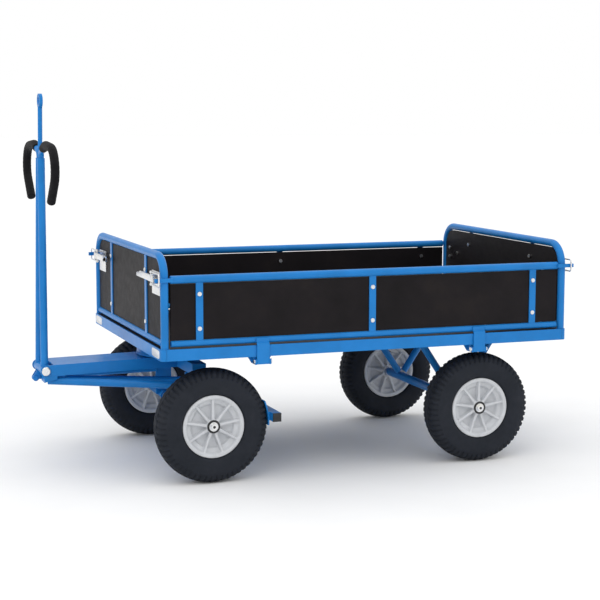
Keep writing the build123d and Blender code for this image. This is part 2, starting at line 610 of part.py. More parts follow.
def brake_arms():
    """Two arms that stand on their pins, hold the bar and carry the cross pin that the rod's slot works on."""
    parts = []
    half = BRAKE_BAR_HALF
    for s in (-1, 1):
        y0, y1 = sorted((s * 127.5, s * 135.5))
        shape = [(BRAKE_PIVOT_X - 14, BRAKE_PIVOT_Z), (BRAKE_PIVOT_X + 14, BRAKE_PIVOT_Z)]
        shape += [(BAR_X + half + 12, BAR_Z - half), (BAR_X + half + 12, BAR_Z + half), (ROD_END_X + 12, ROD_END_Z)]
        shape += [(ROD_END_X - 12, ROD_END_Z), (BAR_X - half - 14, BAR_Z + half), (BAR_X - half - 14, BAR_Z - half)]
        arm = plate(shape, y0, y1) + cross_rod(BRAKE_PIVOT_X, BRAKE_PIVOT_Z, y0, y1, 14)
        arm += cross_rod(ROD_END_X, ROD_END_Z, y0, y1, 12)
        arm -= block(BAR_X - half, BAR_X + half, y0 - 1, y1 + 1, BAR_Z - half, BAR_Z + half)
        arm -= cross_rod(BRAKE_PIVOT_X, BRAKE_PIVOT_Z, -200, 200, 6 + RUNNING)
        parts.append(arm - cross_rod(ROD_END_X, ROD_END_Z, -200, 200, 5))
    return parts + [cross_rod(ROD_END_X, ROD_END_Z, -135.5, 135.5, 5)]


def brake_bar():
    """The square tube across behind the front wheels."""
    half = BRAKE_BAR_HALF
    outer = block(BAR_X - half, BAR_X + half, -BRAKE_BAR_REACH, BRAKE_BAR_REACH, BAR_Z - half, BAR_Z + half)
    inner = half - 2.5
    return outer - block(BAR_X - inner, BAR_X + inner, -500, 500, BAR_Z - inner, BAR_Z + inner)


def brake_bar_caps():
    """A plastic cap in each end of the brake bar."""
    half = BRAKE_BAR_HALF
    inner = half - 2.7
    caps = []
    for s in (-1, 1):
        end = s * BRAKE_BAR_REACH
        caps.append(block(BAR_X - half, BAR_X + half, end, end + s * 5, BAR_Z - half, BAR_Z + half))
        caps[-1] += block(BAR_X - inner, BAR_X + inner, end - s * 18, end, BAR_Z - inner, BAR_Z + inner)
    return caps


def brake_shoes():
    """Curved plates that press on the front tyres, in front of the bar."""
    shoes = []
    for s in (-1, 1):
        y0, y1 = sorted((s * 390, s * 450))
        ring = cross_rod(KINGPIN_X, WHEEL_R, y0, y1, WHEEL_R + 5) - cross_rod(KINGPIN_X, WHEEL_R, y0, y1, WHEEL_R + GAP)
        wedge = [(KINGPIN_X, WHEEL_R), (KINGPIN_X + 240, WHEEL_R - 12), (KINGPIN_X + 240, WHEEL_R + 97)]
        shoe = ring & plate(wedge, y0, y1)
        back = block(BAR_X - BRAKE_BAR_HALF - 14, BAR_X - BRAKE_BAR_HALF, y0, y1, BAR_Z - 15, BAR_Z + 15)
        back -= cross_rod(KINGPIN_X, WHEEL_R, -500, 500, WHEEL_R + 4)
        shoes.append(shoe + back)
    return shoes


# ---- write every node ----
os.makedirs("parts", exist_ok=True)

save("frame_rails", *frame_rails())
save("corner_sockets", *corner_sockets())
save("deck_bearers", *deck_bearers())
save("deck_panel", deck_panel())
hinges = [hinge_bracket(x, side) for x in STRAP_XS for side in (-1, 1)]
save("hinge_brackets", *[body for body, _ in hinges])
save("hinge_pins", *[pin for _, pin in hinges])
save("turntable_top", *turntable_top())
kingpin_head = rod((KINGPIN_X, 0, 374), (KINGPIN_X, 0, 390), 18)
save("kingpin", rod((KINGPIN_X, 0, 376), (KINGPIN_X, 0, 454), 12) + kingpin_head)
save("rear_axle", axle(REAR_AXLE_X))
save("rear_struts", *rear_struts())
save("rear_axle_hardware", *axle_hardware(REAR_AXLE_X))

hoop, cross_pieces, end_panel, end_bolts = end_gate()
tail = Rot(0, 0, 180)
save("end_gate_hoops", hoop, tail * hoop)
save("end_gate_bars", *cross_pieces, *[tail * p for p in cross_pieces])
save("end_gate_panels", end_panel, tail * end_panel)
save("end_gate_bolts", *end_bolts, *[tail * p for p in end_bolts])

base, lever, bail = latch()
corners = {
    "front_left": lambda p: p,
    "front_right": mirrored,
    "rear_right": lambda p: tail * p,
    "rear_left": lambda p: tail * mirrored(p),
}
save("latch_bases", *[place(p) for place in corners.values() for p in base])
for corner, place in corners.items():
    save(f"{corner}_latch_lever", place(lever))
    save(f"{corner}_latch_bail", place(bail))

rails, side_panel, side_bolts = side_gate()
for name, place in (("left", lambda p: p), ("right", mirrored)):
    save(f"{name}_gate_rails", *[place(p) for p in rails])
    save(f"{name}_gate_straps", *[place(p) for p in gate_straps()])
    save(f"{name}_gate_panel", place(side_panel))
    save(f"{name}_gate_bolts", *[place(p) for p in side_bolts])

save("carriage_frame", *carriage_frame())
save("lower_race", race(PLATE_Z + 8, BALL_Z - 5.5))
save("race_balls", *race_balls())
save("drawbar_arm", drawbar_arm())
save("front_axle", axle(KINGPIN_X))
save("drawbar_struts", *drawbar_struts())
save("front_axle_hardware", *axle_hardware(KINGPIN_X))
save("pivot_bolt", pivot_bolt())
save("brake_brackets", *brake_brackets())

save("brake_arms", *brake_arms())
save("brake_bar", brake_bar())
save("brake_bar_caps", *brake_bar_caps())
save("brake_shoes", *brake_shoes())
save("brake_rod", brake_rod())

save("drawbar_tubes", *drawbar_tubes())
save("pivot_sleeve", pivot_sleeve())
save("horn_tubes", *horn_tubes())
save("foam_grips", *foam_grips())
save("tow_eye", tow_eye())
save("brake_lever", *brake_lever())

for name, x, side in (("front_left", KINGPIN_X, -1), ("front_right", KINGPIN_X, 1),
                      ("rear_left", REAR_AXLE_X, -1), ("rear_right", REAR_AXLE_X, 1)):
    save(f"{name}_tyre", tyre(x, side))
    save(f"{name}_rim", rim(x, side))
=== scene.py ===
"""Looks of the hand-drawn platform cart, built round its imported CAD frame.

Lengths are millimetres about the deck's centre on the ground, with the drawbar towards -X and Z up, until
`Mesher` turns them into metres in the frame's own coordinates.
"""
from __future__ import annotations

import json
import logging
import math
from dataclasses import dataclass, field
from enum import Enum
from typing import Sequence

import bmesh
import bpy
import numpy as np
from mathutils import Matrix, Vector


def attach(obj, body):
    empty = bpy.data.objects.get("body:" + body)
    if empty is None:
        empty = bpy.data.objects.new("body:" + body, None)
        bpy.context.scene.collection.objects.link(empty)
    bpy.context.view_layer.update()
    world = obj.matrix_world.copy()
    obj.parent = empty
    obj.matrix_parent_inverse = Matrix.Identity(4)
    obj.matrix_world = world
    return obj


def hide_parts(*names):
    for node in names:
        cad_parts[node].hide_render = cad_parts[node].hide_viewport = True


LOG = logging.getLogger("cart")
DECK_X = 161.0
MM = 0.001
Array = np.ndarray
Point = tuple[float, float, float]
Socket = bpy.types.NodeSocket


class Side(Enum):
    """Left or right of the cart, with the sign of Y."""

    LEFT = -1
    RIGHT = 1


class End(Enum):
    """Drawbar end or tail, with the sign of X."""

    FRONT = -1
    REAR = 1


# ---------------------------------------------------------------- shapes


def rounded(points: Sequence[tuple[float, float]], passes: int) -> Array:
    """Corner cutting: each pass puts two points on every run, a quarter of its length from each end.

    Args:
        points: corners of the line.
        passes: how many times the corners are cut.

    Returns:
        The smoothed points, one row each.
    """
    line = np.array(points, float)
    for _ in range(passes):
        before, after = line[:-1], line[1:]
        pairs = np.stack([0.75 * before + 0.25 * after, 0.25 * before + 0.75 * after], axis=1)
        line = np.vstack([line[:1], pairs.reshape(-1, line.shape[1]), line[-1:]])
    return line


def filleted(corners: Array, radii: Sequence[float], step: float) -> Array:
    """A line of straight runs with an arc at each inner corner, sampled evenly.

    The arc at a corner starts radius * tan(half the turn) before it. It is laid out by turning the first
    leg's normal about the arc's centre through the whole turn.

    Args:
        corners: corner points, one row each.
        radii: arc radius at each inner corner.
        step: distance between samples.

    Returns:
        Points along the line.
    """
    runs = [corners[0]]
    for before, at, after, radius in zip(corners[:-2], corners[1:-1], corners[2:], radii):
        a, b = (at - before) / np.linalg.norm(at - before), (after - at) / np.linalg.norm(after - at)
        turn = math.acos(float(np.clip(a @ b, -1, 1)))
        back = radius * math.tan(turn / 2)
        inward = b - a * (a @ b)
        inward /= np.linalg.norm(inward)
        angle = np.linspace(0, turn, max(8, int(radius * turn / step)))[:, None]
        arc = at - a * back + inward * radius + radius * (np.sin(angle) * a - np.cos(angle) * inward)
        runs.extend(arc)
    runs.append(corners[-1])
    line = np.array(runs)
    along = np.concatenate([[0], np.cumsum(np.linalg.norm(np.diff(line, axis=0), axis=1))])
    even = np.linspace(0, along[-1], max(2, int(along[-1] / step)))
    return np.stack([np.interp(even, along, line[:, k]) for k in range(3)], axis=1)


def carried(line: Array, offsets: Array) -> Array:
    """A closed section carried along a bent line that lies in one plane.

    At each point, the section's first axis is the plane's normal and its second is the cross product of
    direction and normal, so the surface is line + normal * first + across * second.

    Args:
        line: points of the line, one row each.
        offsets: the section at each point, as (points, spokes, 2).

    Returns:
        Grid of points, one row for each point of the line.
    """
    way = np.gradient(line, axis=0)
    way /= np.linalg.norm(way, axis=1)[:, None]
    normal = np.linalg.svd(line - line.mean(0))[2][2]
    across = np.cross(way, normal)
    return line[:, None] + normal * offsets[..., :1] + across[:, None] * offsets[..., 1:]


def disc_sweep(radii: Array, spokes: int) -> Array:
    """Offsets of a circle at each point: radius times cosine and sine of even steps round it."""
    angle = np.linspace(0, 2 * math.pi, spokes, endpoint=False)
    return radii[:, None, None] * np.stack([np.cos(angle), np.sin(angle)], axis=1)[None]


@dataclass(frozen=True)
class Mesher:
    """Turns grids of points into objects in the frame's coordinates."""

    shift: float = DECK_X

    def grid(
        self, name: str, points: Array, ring_u: bool, ring_v: bool, capped: bool = False,
    ) -> bpy.types.Object:
        """A surface through a grid of points, with faces pointing outwards.

        Args:
            name: the piece's name.
            points: (rows, columns, 3) in millimetres.
            ring_u: whether the last row joins the first.
            ring_v: whether the last column joins the first.
            capped: whether the first and last rows are closed with a face each.

        Returns:
            The new object.
        """
        rows, cols = points.shape[:2]
        u = np.arange(rows if ring_u else rows - 1)
        v = np.arange(cols if ring_v else cols - 1)
        i, j = np.meshgrid(u, v, indexing="ij")
        down, right = (i + 1) % rows, (j + 1) % cols
        around = [i * cols + j, down * cols + j, down * cols + right, i * cols + right]
        quads = np.stack(around, axis=-1).reshape(-1, 4)
        ends = [list(range(cols)), list(range((rows - 1) * cols, rows * cols))] if capped else []
        return self.faces(name, points.reshape(-1, 3), quads, ends)

    def faces(self, name: str, points: Array, quads: Array, extra: list[list[int]]) -> bpy.types.Object:
        """An object from points, quads and any larger faces, with its normals made to point outwards."""
        metres = (points + np.array([self.shift, 0, 0])) * MM
        mesh = bpy.data.meshes.new(name)
        mesh.from_pydata(metres.tolist(), [], quads.tolist() + extra)
        mesh.validate()
        work = cleaned(mesh)
        work.to_mesh(mesh)
        work.free()
        mesh.polygons.foreach_set("use_smooth", np.ones(len(mesh.polygons), bool))
        piece = bpy.data.objects.new(name, mesh)
        bpy.context.scene.collection.objects.link(piece)
        return piece


def cleaned(mesh: bpy.types.Mesh) -> bmesh.types.BMesh:
    """A bmesh of the mesh, with its doubles merged and its normals made to point outwards."""
    work = bmesh.new()
    work.from_mesh(mesh)
    bmesh.ops.remove_doubles(work, verts=work.verts, dist=1e-6)
    bmesh.ops.recalc_face_normals(work, faces=work.faces)
    return work


MESHER = Mesher()


# ---------------------------------------------------------------- finishes


class Nodes:
    """A material's node tree, with short ways to add and join nodes."""

    def __init__(self, name: str) -> None:
        """Start a material that holds one Principled shader."""
        self.material = bpy.data.materials.new(name)
        self.material.use_nodes = True
        self.tree = self.material.node_tree
        self.shader = self.tree.nodes["Principled BSDF"]
        self.place = self.tree.nodes.new("ShaderNodeTexCoord").outputs["Object"]

    def add(self, kind: str, inputs: dict | None = None, **settings: object) -> bpy.types.Node:
        """A node with its settings and its inputs, which are values or other nodes' outputs."""
        node = self.tree.nodes.new(kind)
        for key, value in settings.items():
            setattr(node, key, value)
        for key, value in (inputs or {}).items():
            self.feed(node.inputs[key], value)
        return node

    def feed(self, socket: Socket, value: Socket | float | Sequence[float]) -> None:
        """Put a value in a socket, or join another node's output to it."""
        if isinstance(value, Socket):
            self.tree.links.new(value, socket)
        else:
            socket.default_value = value

    def noise(self, scale: float, detail: float = 4.0, roughness: float = 0.55) -> Socket:
        """Noise on the object's own coordinates; scale is in cells a metre."""
        inputs = {"Vector": self.place, "Scale": scale, "Detail": detail, "Roughness": roughness}
        return self.add("ShaderNodeTexNoise", inputs).outputs["Fac"]

    def ramp(self, source: Socket, stops: Sequence[tuple[float, Sequence[float]]]) -> Socket:
        """Colours along a value."""
        made = self.add("ShaderNodeValToRGB", {"Fac": source})
        band = made.color_ramp
        band.elements[0].position, band.elements[1].position = stops[0][0], stops[-1][0]
        band.elements[0].color, band.elements[1].color = (*stops[0][1], 1), (*stops[-1][1], 1)
        for at, colour in stops[1:-1]:
            band.elements.new(at).color = (*colour, 1)
        return made.outputs["Color"]

    def span(self, source: Socket, low: float, high: float) -> Socket:
        """A value from 0..1 stretched to low..high."""
        made = self.add("ShaderNodeMapRange", {"Value": source, "To Min": low, "To Max": high})
        return made.outputs["Result"]

    def calc(self, how: str, a: Socket | float, b: Socket | float = 0.0) -> Socket:
        """One sum on two values."""
        made = self.add("ShaderNodeMath", operation=how)
        self.feed(made.inputs[0], a)
        self.feed(made.inputs[1], b)
        return made.outputs[0]

    def bump(self, height: Socket, depth_mm: float, edge_mm: float = 0.0) -> None:
        """Relief of a depth in millimetres, over edges eased by a radius."""
        made = self.add("ShaderNodeBump", {"Height": height, "Distance": depth_mm * MM, "Strength": 1.0})
        if edge_mm:
            eased = self.add("ShaderNodeBevel", {"Radius": edge_mm * MM}, samples=4)
            self.feed(made.inputs["Normal"], eased.outputs["Normal"])
        self.feed(self.shader.inputs["Normal"], made.outputs["Normal"])


@dataclass(frozen=True)
class Finish:
    """A surface finish; `slot` is the record's name for it."""

    slot: str

    def material(self) -> bpy.types.Material:
        """The node material, made once and then shared."""
        name = f"{type(self).__name__}_{self.slot}"
        return bpy.data.materials.get(name) or self.build(Nodes(name))

    def build(self, n: Nodes) -> bpy.types.Material:
        """Fill in the nodes."""
        return n.material


@dataclass(frozen=True)
class PowderCoat(Finish):
    """Glossy powder coat: orange peel, faint cloudiness in the colour and rubbed patches of duller gloss."""

    slot: str = "blue_paint"
    colour: tuple[float, float, float] = (0.0105, 0.195, 0.555)

    def build(self, n: Nodes) -> bpy.types.Material:
        """Colour from cloudy noise; roughness from broad patches; relief from two sizes of peel."""
        deep = tuple(0.88 * c for c in self.colour)
        light = tuple(min(1.0, 1.08 * c + 0.004) for c in self.colour)
        cloud = n.ramp(n.noise(9, 5), [(0.3, deep), (0.55, self.colour), (0.8, light)])
        n.feed(n.shader.inputs["Base Color"], cloud)
        n.feed(n.shader.inputs["Roughness"], n.span(n.noise(26, 6), 0.24, 0.42))
        n.shader.inputs["Specular IOR Level"].default_value = 0.2
        n.shader.inputs["Coat Weight"].default_value = 0.05
        n.shader.inputs["Coat Roughness"].default_value = 0.12
        peel = n.calc("ADD", n.noise(520, 2), n.calc("MULTIPLY", n.noise(1500, 1), 0.3))
        n.bump(peel, 0.02, 1.2)
        return n.material


@dataclass(frozen=True)
class ZincPlate(Finish):
    """Bright zinc: metal with a passivation tint that drifts, tiny scratches and duller spots."""

    slot: str = "zinc"

    def build(self, n: Nodes) -> bpy.types.Material:
        """Tint from slow noise; roughness from fine noise; relief from stretched scratches."""
        blue, grey, straw = (0.70, 0.72, 0.76), (0.80, 0.80, 0.79), (0.78, 0.75, 0.66)
        tint = n.ramp(n.noise(60, 3), [(0.3, blue), (0.55, grey), (0.8, straw)])
        n.feed(n.shader.inputs["Base Color"], tint)
        n.shader.inputs["Metallic"].default_value = 1.0
        n.feed(n.shader.inputs["Roughness"], n.span(n.noise(240, 5), 0.16, 0.44))
        long = n.add("ShaderNodeMapping", {"Vector": n.place, "Scale": (1, 12, 1)}).outputs["Vector"]
        scratch = n.add("ShaderNodeTexNoise", {"Vector": long, "Scale": 420.0, "Detail": 3.0}).outputs["Fac"]
        n.bump(scratch, 0.04, 0.8)
        return n.material


@dataclass(frozen=True)
class BrightSteel(ZincPlate):
    """Plain ground steel, with the same drift and scratches as the zinc."""

    slot: str = "steel"


@dataclass(frozen=True)
class FilmPly(Finish):
    """Film-faced plywood: dark brown resin film pressed with a fine wire mesh, a little scuffed."""

    slot: str = "ply"
    pitch_mm: float = 3.2

    def build(self, n: Nodes) -> bpy.types.Material:
        """The mesh's height is (|sin X| + |sin Y|) * (|sin Z| + 0.4), with X, Y and Z the turned distances.

        A face shows ridges along its own two directions, and the third axis is the same all over it.
        """
        dark, mid, warm = (0.0045, 0.0037, 0.0045), (0.0085, 0.0066, 0.0078), (0.0150, 0.0115, 0.0105)
        cloud = n.ramp(n.noise(7, 6, 0.6), [(0.3, dark), (0.55, mid), (0.8, warm)])
        split = n.add("ShaderNodeSeparateXYZ", {"Vector": n.place})
        waves = []
        for axis in "XYZ":
            turned = n.calc("MULTIPLY", split.outputs[axis], math.pi / (self.pitch_mm * MM))
            waves.append(n.calc("ABSOLUTE", n.calc("SINE", turned)))
        weave = n.calc("MULTIPLY", n.calc("ADD", waves[0], waves[1]), n.calc("ADD", waves[2], 0.4))
        share = n.span(weave, 0.0, 0.2)
        light = n.add("ShaderNodeMix", {"Factor": share}, data_type="RGBA", blend_type="ADD")
        n.feed(light.inputs[6], cloud)
        light.inputs[7].default_value = (0.0070, 0.0054, 0.0058, 1)
        n.feed(n.shader.inputs["Base Color"], light.outputs[2])
        n.feed(n.shader.inputs["Roughness"], n.span(n.noise(40, 5), 0.42, 0.62))
        n.shader.inputs["Specular IOR Level"].default_value = 0.14
        n.bump(weave, 0.12)
        return n.material


@dataclass(frozen=True)
class TyreRubber(Finish):
    """Matt tyre rubber with greyer patches of bloom and a fine grain."""

    slot: str = "tyre"

    def build(self, n: Nodes) -> bpy.types.Material:
        """Colour from bloom noise; relief from grain."""
        fresh, usual, bloomed = (0.011, 0.014, 0.020), (0.017, 0.020, 0.028), (0.027, 0.029, 0.036)
        bloom = n.ramp(n.noise(14, 6, 0.65), [(0.3, fresh), (0.6, usual), (0.85, bloomed)])
        n.feed(n.shader.inputs["Base Color"], bloom)
        n.feed(n.shader.inputs["Roughness"], n.span(n.noise(70, 4), 0.55, 0.8))
        n.shader.inputs["Specular IOR Level"].default_value = 0.2
        n.bump(n.noise(1100, 3), 0.12)
        return n.material


@dataclass(frozen=True)
class MouldedNylon(Finish):
    """Satin light grey moulded plastic with a spark-eroded grain and faint flow marks."""

    slot: str = "rim"

    def build(self, n: Nodes) -> bpy.types.Material:
        """Colour from flow noise; relief from grain."""
        dull, usual, pale = (0.52, 0.535, 0.56), (0.60, 0.615, 0.64), (0.65, 0.66, 0.68)
        flow = n.ramp(n.noise(22, 5), [(0.3, dull), (0.6, usual), (0.85, pale)])
        n.feed(n.shader.inputs["Base Color"], flow)
        n.feed(n.shader.inputs["Roughness"], n.span(n.noise(90, 4), 0.34, 0.5))
        n.bump(n.noise(900, 2), 0.05)
        return n.material


@dataclass(frozen=True)
class ClosedFoam(Finish):
    """Black closed-cell foam: open pores under a soft skin, with a dusty sheen."""

    slot: str = "foam"

    def build(self, n: Nodes) -> bpy.types.Material:
        """Pores are the near cells of a Voronoi pattern; sheen is the shader's own."""
        deep, usual, dusty = (0.0045, 0.0045, 0.0055), (0.0080, 0.0078, 0.0095), (0.0150, 0.0145, 0.0160)
        dust = n.ramp(n.noise(45, 6), [(0.3, deep), (0.6, usual), (0.85, dusty)])
        n.feed(n.shader.inputs["Base Color"], dust)
        n.shader.inputs["Roughness"].default_value = 0.85
        n.shader.inputs["Sheen Weight"].default_value = 0.05
        n.shader.inputs["Specular IOR Level"].default_value = 0.15
        pores = n.add("ShaderNodeTexVoronoi", {"Vector": n.place, "Scale": 620.0}).outputs["Distance"]
        n.bump(n.calc("ADD", pores, n.noise(160, 4)), 0.3)
        return n.material


@dataclass(frozen=True)
class CapPlastic(Finish):
    """Black moulded plastic of the end caps."""

    slot: str = "black_plastic"

    def build(self, n: Nodes) -> bpy.types.Material:
        """Near black, satin, with a moulded grain."""
        shade = n.ramp(n.noise(60), [(0.3, (0.010, 0.010, 0.011)), (0.8, (0.020, 0.020, 0.022))])
        n.feed(n.shader.inputs["Base Color"], shade)
        n.feed(n.shader.inputs["Roughness"], n.span(n.noise(200), 0.4, 0.55))
        n.bump(n.noise(1300, 2), 0.06, 0.8)
        return n.material


@dataclass(frozen=True)
class LabelFilm(Finish):
    """Blank white label film; the record has no slot of its own for it, so it takes the paint's."""

    slot: str = "blue_paint"

    def build(self, n: Nodes) -> bpy.types.Material:
        """Off-white with faint creases."""
        shade = n.ramp(n.noise(80), [(0.3, (0.74, 0.76, 0.78)), (0.8, (0.84, 0.85, 0.86))])
        n.feed(n.shader.inputs["Base Color"], shade)
        n.feed(n.shader.inputs["Roughness"], n.span(n.noise(150), 0.3, 0.45))
        n.bump(n.noise(120, 2), 0.05)
        return n.material


FINISHES: dict[str, Finish] = {finish.slot: finish for finish in (
    PowderCoat(), ZincPlate(), BrightSteel(), FilmPly(),
    TyreRubber(), MouldedNylon(), ClosedFoam(), CapPlastic())}


def dress(
    piece: bpy.types.Object, body: str, finish: Finish, replaced: Sequence[str] = (),
) -> bpy.types.Object:
    """Give a new piece its finish, its body and the CAD nodes that it stands for.

    Args:
        piece: the new object.
        body: the frame's body that it rides on.
        finish: its finish, whose slot is also the record's.
        replaced: CAD nodes that it stands for.

    Returns:
        The same object.
    """
    piece.data.materials.append(finish.material())
    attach(piece, body)
    if replaced:
        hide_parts(*replaced)
    LOG.info("%s rides on %s, %d faces", piece.name, body, len(piece.data.polygons))
    return piece


# ---------------------------------------------------------------- wheels


@dataclass
class Wheel:
    """A pneumatic tyre with blocks on its shoulders, on a moulded rim with nine ribs on each face."""

    end: End
    side: Side
    radius: float = 200.0
    bead_r: float = 102.5
    half_track: float = 420.0
    axle_x: dict[End, float] = field(default_factory=lambda: {End.FRONT: -573.0, End.REAR: 444.0})
    blocks: int = 58
    ribs: int = 9
    crown_r: float = 190.0
    block_groove: float = 4.6
    ring_groove: float = 4.2
    valve_r: float = 86.0
    valve_inset: float = 20.0
    valve_tilt: float = 0.35

    @property
    def name(self) -> str:
        """Corner of the cart, as in the frame's names."""
        return f"{self.end.name.lower()}_{self.side.name.lower()}"

    def placed(self, r: Array, w: Array, angle: Array) -> Array:
        """Points at a radius and an angle from upright, w outwards from the wheel's middle."""
        x = self.axle_x[self.end] + r * np.sin(angle)
        y = self.side.value * (self.half_track + w)
        return np.stack([x, np.broadcast_to(y, x.shape), self.radius + r * np.cos(angle)], axis=-1)

    def tyre(self) -> bpy.types.Object:
        """The tyre's section turned about the axle, with grooves sunk in it.

        There are slanted grooves between the shoulders' blocks, where a sine of the angle is above a limit,
        a stepped ring on each side of the tread, and a wavy one along its middle. The deepest counts at
        each point. Each wall also has two thin raised rings.
        """
        half = [
            (102.5, 32.4), (110.4, 32.4), (113, 39), (119, 44), (135, 48.6), (150, 50), (166, 48.6),
            (178, 45.6), (187, 41), (193, 34.5), (197, 26), (199.4, 13), (200, 4)]
        section = rounded(half + [(r, -w) for r, w in reversed(half)], 2)
        section = np.vstack([section, [[self.bead_r, -11], [self.bead_r, 11]]])
        angle = np.linspace(0, 2 * math.pi, self.blocks * 8, endpoint=False)
        r, w = section[:, :1], section[:, 1:]
        on_tread = np.clip((r - 171) / 7, 0, 1) * (np.abs(w) > 15)
        lean = 0.5 * np.sign(w)
        wave = np.sin(self.blocks * angle[None] + lean * math.pi + w * 0.055)
        shoulder = np.clip((wave - 0.15) / 0.35, 0, 1) * on_tread * self.block_groove
        zigzag = 17.5 + 2.4 * np.sign(np.sin(self.blocks / 2 * angle[None]))
        ring = np.clip(1.6 - np.abs(np.abs(w) - zigzag), 0, 1) * (r > self.crown_r) * self.ring_groove
        sway = 1.8 * np.sin(self.blocks / 2 * angle[None])
        middle = np.clip(1.9 - np.abs(w + sway), 0, 1) * (r > self.crown_r) * self.ring_groove
        wall = 0.7 * np.exp(-((r - 123) / 1.6) ** 2) + 0.5 * np.exp(-((r - 166) / 1.4) ** 2)
        facing = np.where(np.abs(w) > 1, np.sign(w), 0)
        sunk = np.maximum(np.maximum(shoulder, ring), middle)
        outwards = w * np.ones_like(angle)[None] - facing * (sunk * 0.55 - wall)
        grid = self.placed(r - sunk * 0.9, outwards, angle[None] * np.ones_like(r))
        piece = MESHER.grid(f"{self.name}_tread_tyre", grid, True, True)
        return dress(piece, f"{self.name}_wheel", TyreRubber(), [f"{self.name}_tyre"])

    def face(self) -> tuple[Array, Array, Array]:
        """Radius, height of the ribs and height of the floor along one face, from the bore to the lip."""
        rows = np.array([
            (16.0, 36.5, 36.5), (17.0, 37.8, 37.8), (20.0, 38.0, 38.0), (23.0, 37.4, 37.4),
            (24.2, 36.0, 35.4), (25.4, 34.6, 22.0), (27.0, 34.0, 14.0), (34.0, 33.2, 13.0),
            (50.0, 32.6, 12.6), (66.0, 32.6, 12.4), (73.0, 32.8, 12.6), (75.5, 33.0, 15.0),
            (78.0, 33.2, 21.0), (81.0, 33.6, 23.2), (88.0, 34.4, 24.0), (92.0, 35.0, 25.5),
            (94.5, 36.0, 33.0), (96.0, 37.2, 36.6), (99.0, 38.6, 38.6), (103.0, 39.4, 39.4),
            (107.0, 39.8, 39.8), (109.0, 39.2, 39.2), (110.0, 37.6, 37.6)])
        return rows[:, 0], rows[:, 1], rows[:, 2]

    def rim(self) -> bpy.types.Object:
        """Both faces and the barrel as one closed surface.

        Each rib's sector has fixed shares for the rib's top, its wall and the floor beside it, and the
        angle of each share follows the rib's width at that radius, so that the ribs' edges lie along the
        grid.
        """
        r, high, low = self.face()
        share = np.array([0, 0.5, 0.85, 1.0, 1.0, 1.0, 1.0])
        drop = np.array([0, 0, 0.03, 0.12, 0.5, 0.9, 1.0])
        across = np.array([0, 0, 0, 0, 0.6, 1.2, 2.4])
        half_width = np.interp(r, [16, 24, 30, 60, 96, 110], [6.6, 6.6, 5.4, 4.5, 3.9, 4.2])[:, None]
        sector = math.pi / self.ribs
        near = np.arctan2(half_width * share + across, r[:, None])
        foot = near[:, -1:]
        beside = foot + (sector - foot) * np.linspace(0, 1, 6)[None, 1:]
        angles = np.hstack([near, beside])
        drops = np.concatenate([drop, np.ones(5)])
        angles = np.hstack([angles, 2 * sector - angles[:, -2:0:-1]])
        drops = np.concatenate([drops, drops[-2:0:-1]])
        turn = np.arange(self.ribs) * 2 * sector
        angle = (angles[:, None] + turn[None, :, None]).reshape(len(r), -1)
        drops = np.tile(drops, self.ribs)[None]
        height = high[:, None] * (1 - drops) + low[:, None] * drops
        barrel = np.array([
            (110, 34.2), (108.8, 33.2), (102.3, 33.0), (102.3, -33.0), (108.8, -33.2), (110, -34.2)])
        ones = np.ones_like(angle[:1])
        radii = np.vstack([r[:, None] * ones, barrel[:, :1] * ones, r[::-1, None] * ones])
        heights = np.vstack([height, barrel[:, 1:] * ones, -height[::-1]])
        turned = np.vstack([angle, np.repeat(angle[-1:], len(barrel), 0), angle[::-1]])
        grid = self.placed(radii, heights, turned)
        piece = MESHER.grid(f"{self.name}_ribbed_rim", grid, True, True)
        return dress(piece, f"{self.name}_wheel", MouldedNylon(), [f"{self.name}_rim"])

    def valve(self) -> bpy.types.Object:
        """A valve stem with a cap, on the rim's inner face: a stepped profile turned about its own axis."""
        profile = np.array([
            (0.1, 0), (5.5, 0), (5.2, 3), (4.0, 6), (3.8, 20),
            (4.6, 20.5), (4.6, 29), (3.6, 30.5), (0.1, 30.5)])
        angle = np.linspace(0, 2 * math.pi, 20, endpoint=False)
        rho, along = profile[:, :1], profile[:, 1:]
        x = self.axle_x[self.end] + rho * np.cos(angle)
        z = self.radius + self.valve_r + rho * np.sin(angle) - along * math.sin(self.valve_tilt) * 0.4
        y = self.side.value * (self.half_track - self.valve_inset - along * math.cos(self.valve_tilt))
        grid = np.stack([x, y * np.ones_like(angle), z], axis=-1)
        piece = MESHER.grid(f"{self.name}_valve", grid, False, True, capped=True)
        return dress(piece, f"{self.name}_wheel", CapPlastic())

    def hub_seal(self) -> bpy.types.Object:
        """A black ring in the hub's mouth, round the washer, which is painted shade of the gap there: a low
        closed profile turned about the axle.
        """
        profile = np.array([(16.6, 37.2), (17.0, 38.9), (21.5, 39.3), (23.2, 38.6), (23.4, 37.2)])
        angle = np.linspace(0, 2 * math.pi, 48, endpoint=False)[None] * np.ones((len(profile), 1))
        grid = self.placed(profile[:, :1] * np.ones_like(angle), profile[:, 1:] * np.ones_like(angle), angle)
        # painted shade: a black ring where the gap round the washer lies in shadow
        piece = MESHER.grid(f"{self.name}_hub_seal", grid, True, True)
        return dress(piece, f"{self.name}_wheel", CapPlastic())

    def bolt_socket(self) -> bpy.types.Object:
        """A dark six-sided disc on the end of the axle bolt, painted shade of its socket's recess; it stays
        with the axle.
        """
        profile = np.array([(5.4, 46.4), (5.4, 47.25), (4.9, 47.4)])
        angle = np.linspace(0, 2 * math.pi, 6, endpoint=False)[None] * np.ones((len(profile), 1))
        grid = self.placed(profile[:, :1] * np.ones_like(angle), profile[:, 1:] * np.ones_like(angle), angle)
        body = "front_carriage" if self.end is End.FRONT else "chassis"
        # painted shade: a thin black disc for the shadowed socket in the bolt's end
        piece = MESHER.grid(f"{self.name}_bolt_socket", grid, False, True, capped=True)
        return dress(piece, body, CapPlastic())

    def build(self) -> None:
        """Make the wheel's pieces."""
        self.tyre()
        self.rim()
        self.valve()
        self.hub_seal()
        self.bolt_socket()


# ---------------------------------------------------------------- drawbar


